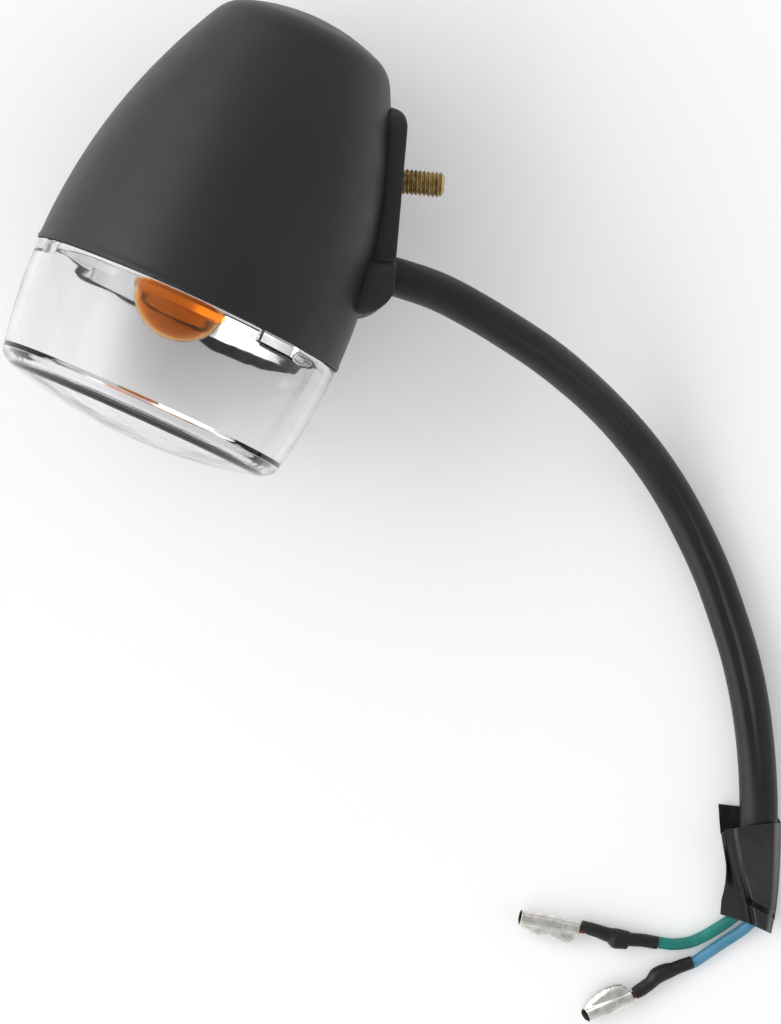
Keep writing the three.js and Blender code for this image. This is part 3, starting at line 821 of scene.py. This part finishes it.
def make_pad():
    """The CAD part's rubber pad with its edges softened."""
    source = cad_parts["mounting_pad"]
    pad = bpy.data.objects.new("pad_rubber", source.data.copy())
    bpy.context.collection.objects.link(pad)
    remesh = pad.modifiers.new("even", "REMESH")
    remesh.mode = "VOXEL"
    remesh.voxel_size = 0.32 * MM
    soften = pad.modifiers.new("soften", "SMOOTH")
    soften.factor = 0.5
    soften.iterations = 5
    apply_modifiers(pad)
    seat(pad)
    pad.data.shade_smooth()
    return pad


def thread_radius(x, around):
    """The M5 thread's radius at x along it and at around of a turn, with its tip chamfered."""
    phase = (x / THREAD_PITCH - around) % 1.0
    ridge = 1 - abs(2 * phase - 1)
    rise = min(1.0, max(0.0, (ridge - THREAD_FLAT) / THREAD_RISE))
    return min(mix(THREAD_MINOR, THREAD_MAJOR, rise), TIP_RADIUS + (STUD_TIP - x) * TIP_SLOPE)


def make_shank():
    per_turn, per_pitch = 72, 10
    rows = int((STUD_TIP - HEAD_FRONT) / THREAD_PITCH * per_pitch)
    points = []
    for i in range(rows + 1):
        x = mix(HEAD_FRONT, STUD_TIP, i / rows)
        for j, turn in enumerate(full_turn(per_turn)):
            radius = thread_radius(x, j / per_turn)
            points.append((x, radius * math.cos(turn) + STUD_Y, radius * math.sin(turn)))
    return build("stud_shank", points, capped_faces(rows + 1, per_turn), MOUNT_TO_ROW, 30)


def make_head():
    """A hexagon head, 8 mm across its flats."""
    corner = 4 / math.cos(math.pi / 6)
    rings = [(HEAD_FRONT, corner - 0.1), (-10.05, corner), (-12.9, corner), (-13.4, corner - 0.5)]
    points = [(x, STUD_Y + r * math.cos(a), r * math.sin(a))
              for x, r in rings for a in [math.pi / 3 * k for k in range(6)]]
    return build("stud_head", points, capped_faces(len(rings), 6), MOUNT_TO_ROW, 20)


dress(make_pad(), PAD_RUBBER, "housing", "mounting_pad")
stud = join("stud_screw", make_shank(), make_head())
dress(stud, YELLOW_ZINC, "housing", "mounting_stud")


# ---------------------------------------------------------------- tape wrap

TAPE_RIDGE = [(80.8, -115.9), (81.6, -119.1), (82.8, -122.7), (84.2, -126.1), (85.6, -128.9),
              (87.2, -134.6)]
TAPE_RIGHT = [(92.0, -113.4), (92.5, -118.2), (92.8, -122.8), (93.0, -127.4), (93.0, -131.6),
              (92.5, -136.5)]
TAPE_FLANGE = [(79.9, -116.5), (80.9, -120.1), (81.9, -123.8), (81.9, -127.4), (81.5, -130.4),
               (81.6, -133.3)]
TAPE_BACK_LEFT = [(78.7, -110.5), (79.9, -115.4), (81.2, -120.3), (82.0, -124.6), (81.9, -128.6),
                  (82.2, -132.0)]
TAPE_BACK_RIGHT = [(90.3, -110.8), (91.6, -115.4), (92.2, -120.3), (92.7, -124.6), (92.9, -129.0),
                   (92.6, -133.0)]
TAPE_LEAN = Vector((-0.2, 0.227))
TAPE_OUTLINE_HEIGHT = 2.1
TAPE_THICKNESS = 0.2


def at_step(table, t):
    """A value from an evenly spaced table of numbers or points, with t from 0 to 1."""
    place = t * (len(table) - 1)
    i = min(int(place), len(table) - 2)
    first, second = table[i], table[i + 1]
    if isinstance(first, tuple):
        return Vector(first).lerp(Vector(second), place - i)
    return mix(first, second, place - i)


def raised(place, height):
    """A point of the wrap's outline at a height above the table. The wrap leans as it rises."""
    shift = TAPE_LEAN * (height - TAPE_OUTLINE_HEIGHT)
    return place.x + shift.x, place.y + shift.y, TABLE + height


def panel_height(across, width, t):
    """Height of the front layer above the table, across millimetres from its ridge."""
    crown = mix(8.3, 4.1, smooth(0.05, 0.8, t))
    fall = smooth(width - 2.0, width + 0.1, across) ** 2
    height = mix(crown, 1.5, fall)
    height -= mix(0.5, 0.8, t) * math.exp(-(((across - 1.5) / 0.6) ** 2))
    fold = 0.82 + 0.03 * across / width
    height -= 0.9 * math.exp(-(((t - fold) / 0.022) ** 2)) * smooth(0.4, 1.5, across)
    height += 0.5 * smooth(fold, 1.0, t) * smooth(0, 4, across)
    return height + 0.18 * noise.noise(Vector((across * 0.5, t * 6, 2.0)))


def tape_front(t):
    """The wrap's front layer at t along it: the flange, the ridge's side and the panel."""
    ridge, right = at_step(TAPE_RIDGE, t), at_step(TAPE_RIGHT, t)
    flange = at_step(TAPE_FLANGE, t)
    crest = panel_height(0, 9, t)
    foot = mix(1.1, 3.1, smooth(0.2, 0.8, t))
    lift = mix(0.9, 3.4, smooth(0.1, 0.6, t))
    wave = 0.15 * noise.noise(Vector((t * 7, 1.0, 5.0)))
    points = []
    for u in spread(0, 1, 14):
        height = mix(lift, foot, smooth(0, 0.8, u)) + wave
        points.append(raised(flange.lerp(ridge, 0.97 * u), height))
    for u in spread(0.2, 0.95, 4):
        points.append(raised(ridge, mix(foot, crest, u)))
    width = (right - ridge).length
    for u in spread(0, 1, 56):
        height = panel_height(u * width, width, t)
        points.append(raised(ridge.lerp(right, u), max(0.8, height)))
    return points


def tape_back(t):
    """The layer that lies on the table, from right to left, with its left corner curled up."""
    left, right = at_step(TAPE_BACK_LEFT, t), at_step(TAPE_BACK_RIGHT, t)
    points = []
    for u in spread(1, 0, 40):
        curl = 0.8 * smooth(0.15, 0.0, t) * smooth(0.25, 0.0, u)
        ripple = 0.1 * noise.noise(Vector((u * 4, t * 4, 7.0)))
        points.append(raised(left.lerp(right, u), 0.34 + curl + ripple))
    return points


def thicken(sheet, thickness):
    """Gives a sheet its thickness, inwards."""
    shell = sheet.modifiers.new("thickness", "SOLIDIFY")
    shell.thickness = thickness * MM
    shell.offset = -1
    return apply_modifiers(sheet)


def make_tape():
    """Vinyl tape folded round the sleeve's end, with a flat flange on its left."""
    rows = [tape_front(t) + tape_back(t) for t in spread(0, 1, 80)]
    points = [point for row in rows for point in row]
    wrap = build("tape_tube", points, grid_faces(len(rows), len(rows[0])), ROW, 35)
    return thicken(wrap, TAPE_THICKNESS)


dress(make_tape(), TAPE_VINYL, "housing", "tape_wrap")


# ---------------------------------------------------------------- boots and terminals


def make_boot(name, route, widths, lump_side):
    """Shrunk tubing over a crimp. widths are (place, radius, sideways shift) along it.

    The lump over the crimp leans to lump_side, 1 or -1.
    """
    line = curve_through(route, 80)

    def section(t, turn):
        for (a, r0, d0), (b, r1, d1) in zip(widths, widths[1:]):
            if t <= b:
                blend = smooth(a, b, t)
                radius, shift = mix(r0, r1, blend), mix(d0, d1, blend)
                break
        c, s = math.cos(turn), math.sin(turn)
        rough = 0.08 * noise.noise(Vector((c * 1.5, s * 1.5, t * 8)))
        rough += 0.05 * noise.noise(Vector((c * 4, s * 4, t * 22)))
        return (radius + rough) * c + lump_side * shift, (radius * 0.94 + rough) * s

    return sweep(name, line, section, 48)


GREEN_BOOT = [(69.4, -140.35, -27.9), *GREEN_ROUTE[8:], (53.4, -138.0, -27.3)]
BLUE_BOOT = [(77.0, -143.8, -27.9), *BLUE_ROUTE[7:], (65.7, -151.2, -27.3)]
GREEN_WIDTHS = [(0, 1.36, 0), (0.35, 1.38, 0), (0.4, 1.95, 0.3), (0.54, 2.05, 0.4),
                (0.64, 1.5, 0.1), (0.8, 1.36, 0), (1.0, 1.2, 0)]
BLUE_WIDTHS = [(0, 1.36, 0), (0.28, 1.42, 0), (0.42, 1.7, 0.1), (0.56, 1.72, 0.2),
               (0.72, 1.42, 0), (0.93, 1.36, 0), (1.0, 1.25, 0)]

# How far the wing stands off the barrel, evenly spaced along it.
GREEN_FLARE = [0.0, 2.0, 1.9, 1.2, 1.1, 1.3, 1.5, 1.4, 0.8, 0.0]
BLUE_FLARE = [0.0, 1.7, 2.1, 2.1, 2.0, 1.8, 1.5, 1.2, 0.7, 0.0]
# Each terminal's rear, its nose, the wing's side, its flare, and how far the mouth is cut aslant.
TERMINALS = {
    "green": ((52.8, -138.6), (40.6, -137.05), -1, GREEN_FLARE, 0.1),
    "blue": ((65.3, -151.6), (55.6, -156.7), 1, BLUE_FLARE, 0.6),
}
TERMINAL_Z = TABLE + 2.2
CRIMP_LENGTH = 3.7
BARREL_REAR = 1.75
BARREL_MOUTH = 1.5
SHEET = 0.28


def terminal_matrix(rear, nose):
    """The barrel's own frame: its origin at the rear, +Z to the nose and +Y up."""
    ahead = (Vector((*nose, 0)) - Vector((*rear, 0))).normalized()
    side = ahead.cross(Vector((0, 0, 1)))
    spin = Matrix((side, Vector((0, 0, 1)), ahead)).transposed().to_4x4()
    return Matrix.Translation((rear[0], rear[1], TERMINAL_Z)) @ spin


def seam_flare(flares, wing, t):
    """How far the wing stands off the barrel at t along it, with a slight wave."""
    wave = 0.12 * noise.noise(Vector((t * 9, 3.0, 1.0 * wing)))
    flare = max(0.0, at_step(flares, t) + wave * smooth(1.0, 0.8, t))
    return flare * smooth(0.02, 0.05, t)


def barrel_ring(t, length, wing, flares, bevel):
    """The barrel's section at t along it, from one edge of its seam round to the other."""
    middle = math.radians(-24 if wing > 0 else 204)
    crimped = smooth(CRIMP_LENGTH, CRIMP_LENGTH - 0.3, t * length)
    radius = mix(BARREL_REAR, BARREL_MOUTH, smooth(0.4, 1.0, t)) - 0.14 * crimped
    gap = math.radians(mix(40, 5, smooth(0.3, 1.0, t)))
    flare = seam_flare(flares, wing, t)
    ring = []
    for u in spread(0, 1, 72):
        turn = middle + gap / 2 + u * (2 * math.pi - gap)
        edge = smooth(0.16, 0.0, u) if wing > 0 else smooth(0.84, 1.0, u)
        reach = radius + flare * edge
        slant = bevel * (1 + math.sin(turn)) * smooth(0.75, 1.0, t)
        ring.append((reach * math.cos(turn), reach * math.sin(turn) * 0.97, t * length - slant))
    return ring


def make_terminal(name, rear, nose, wing, flares, bevel):
    """A barrel rolled from sheet, cut aslant at its mouth, one edge of its seam standing off."""
    length = (Vector(nose) - Vector(rear)).length
    rings = [barrel_ring(t, length, wing, flares, bevel) for t in spread(0, 1, 90)]
    points = [point for ring in rings for point in ring]
    faces = grid_faces(len(rings), len(rings[0]), around=False)
    return thicken(build(name, points, faces, terminal_matrix(rear, nose)), SHEET)


def darken_inside(barrel, rear, nose):
    """The barrel's inner faces get a darker metal, as painted shade inside the hollow barrel."""
    barrel.data.materials.append(BARREL_SHADE)
    to_barrel = terminal_matrix(rear, nose).inverted()
    turn_back = to_barrel.to_3x3()
    for face in barrel.data.polygons:
        place = to_barrel @ (face.center / MM)
        facing = turn_back @ face.normal
        inward = facing.x * place.x + facing.y * place.y < 0
        face.material_index = 1 if inward and place.xy.length < BARREL_REAR else 0


def make_strands(name, rear, nose):
    """Seven bare strands, six twisted round one, that run from the boot into the barrel."""
    matrix = terminal_matrix(rear, nose)
    strand_radius, twist, sides = 0.27, 0.25, 8
    strands = []
    for k in range(7):
        ring = 0 if k == 0 else 0.5
        turn = k * math.pi / 3
        line = [Vector((ring * math.cos(turn + z * twist), ring * math.sin(turn + z * twist), z))
                for z in spread(-1.4, 2.6, 14)]
        frames = frames_along(line, Vector((0, 1, 0)))
        points = [p + side * strand_radius * math.cos(a) + up * strand_radius * math.sin(a)
                  for p, (side, up) in zip(line, frames) for a in full_turn(sides)]
        strands.append(build(f"strand_{k}", points, grid_faces(len(line), sides), matrix))
    return join(name, *strands)


green_boot = make_boot("boot_green_vinyl", GREEN_BOOT, GREEN_WIDTHS, -1)
dress(green_boot, BOOT_VINYL, "housing", "boot_green")
blue_boot = make_boot("boot_blue_vinyl", BLUE_BOOT, BLUE_WIDTHS, 1)
dress(blue_boot, BOOT_VINYL, "housing", "boot_blue")

for colour, (rear, nose, *shape) in TERMINALS.items():
    barrel = make_terminal(f"barrel_{colour}", rear, nose, *shape)
    dress(barrel, TIN_PLATE, "housing", f"terminal_{colour}")
    darken_inside(barrel, rear, nose)
    strands = make_strands(f"strands_{colour}", rear, nose)
    dress(strands, COPPER, "housing", f"conductor_{colour}")


# ---------------------------------------------------------------- hidden parts keep their CAD shape

CAD_FINISHES = {
    "socket_shell": ZINC,
    "socket_base": PHENOLIC,
    "socket_terminal": BRASS,
    "contact_carriage": PHENOLIC,
    "contact_button": BRASS,
    "bulb_cap": NICKEL,
    "bulb_insulator": BLACK_GLASS,
    "bulb_contact": SOLDER,
    "bulb_stem": STEM_GLASS,
    "bulb_lead_left": TUNGSTEN,
    "bulb_lead_right": TUNGSTEN,
    "inner_lead_green": GREEN_VINYL,
    "inner_lead_blue": BLUE_VINYL,
    "stud_washer": ZINC,
}
for node, material in CAD_FINISHES.items():
    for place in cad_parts[node].material_slots:
        place.material = material


# ---------------------------------------------------------------- table and light

# The table's half width and everything about the softbox are in metres.
TABLE_HALF = 3.0
TABLE_GAP = 0.05
TABLE_GLOW = 0.13
TENT_LEFT = 2.0
TENT_REST = 0.7
TENT_CEILING = 0.5
CEILING_FULL = math.cos(math.radians(30))
CEILING_START = math.cos(math.radians(50))


def make_stage():
    """The pale table. It glows faintly, so that it comes out nearly white."""
    mesh = bpy.data.meshes.new("table")
    z = (TABLE - TABLE_GAP) * MM
    corners = [(x * TABLE_HALF, y * TABLE_HALF, z) for x, y in ((-1, -1), (1, -1), (1, 1), (-1, 1))]
    mesh.from_pydata(corners, [], [(0, 1, 2, 3)])
    table = bpy.data.objects.new("table", mesh)
    bpy.context.collection.objects.link(table)
    material, tree, shader = new_material("table_paper")
    space = texture_space(tree)
    tone = noise_field(tree, space, 3, 3)
    tree.links.new(shades(tree, tone, (0.3, (0.92, 0.92, 0.925)), (0.7, (0.94, 0.94, 0.945))),
                   shader.inputs["Base Color"])
    shader.inputs["Roughness"].default_value = 0.8
    shader.inputs["Emission Color"].default_value = (1, 1, 1, 1)
    shader.inputs["Emission Strength"].default_value = TABLE_GLOW
    mesh.materials.append(material)


def area_light(name, place, aim, size, power):
    data = bpy.data.lights.new(name, "AREA")
    data.shape = "RECTANGLE"
    data.size, data.size_y = size
    data.energy = power
    lamp = bpy.data.objects.new(name, data)
    bpy.context.collection.objects.link(lamp)
    lamp.location = Vector(place)
    lamp.rotation_mode = "QUATERNION"
    lamp.rotation_quaternion = (Vector(aim) - Vector(place)).to_track_quat("-Z", "Y")


def arithmetic(tree, operation, first, second):
    """A sum, difference or product of two numbers or fields."""
    node = tree.nodes.new("ShaderNodeMath")
    node.operation = operation
    for socket, value in zip(node.inputs, (first, second)):
        if isinstance(value, (int, float)):
            socket.default_value = value
        else:
            tree.links.new(value, socket)
    return node.outputs["Value"]


def ramp(tree, value, low, high, to_low, to_high):
    """A smooth step of value from to_low, at low, to to_high, at high."""
    step = tree.nodes.new("ShaderNodeMapRange")
    step.interpolation_type = "SMOOTHERSTEP"
    for socket, number in (("From Min", low), ("From Max", high), ("To Min", to_low),
                           ("To Max", to_high)):
        step.inputs[socket].default_value = number
    tree.links.new(value, step.inputs["Value"])
    return step.outputs["Result"]


def make_tent():
    """A light tent with pale walls, brightest on the left, under a dimmer ceiling."""
    world = bpy.data.worlds.new("studio")
    bpy.context.scene.world = world
    world.use_nodes = True
    tree = world.node_tree
    place = tree.nodes.new("ShaderNodeTexCoord")
    split = tree.nodes.new("ShaderNodeSeparateXYZ")
    tree.links.new(place.outputs["Generated"], split.inputs["Vector"])
    walls = ramp(tree, split.outputs["X"], -0.46, -0.34, TENT_LEFT, TENT_REST)
    opening = ramp(tree, split.outputs["Z"], CEILING_START, CEILING_FULL, 0.0, 1.0)
    sides = arithmetic(tree, "MULTIPLY", walls, arithmetic(tree, "SUBTRACT", 1.0, opening))
    roof = arithmetic(tree, "MULTIPLY", opening, TENT_CEILING)
    sky = tree.nodes["Background"]
    sky.inputs["Color"].default_value = (1, 1, 1, 1)
    tree.links.new(arithmetic(tree, "ADD", sides, roof), sky.inputs["Strength"])


make_stage()
make_tent()
area_light("softbox_left", (-0.95, 0.1, 0.75), aim=(0, -0.05, 0), size=(0.9, 0.6), power=2.5)
bpy.context.scene.view_settings.view_transform = "Standard"
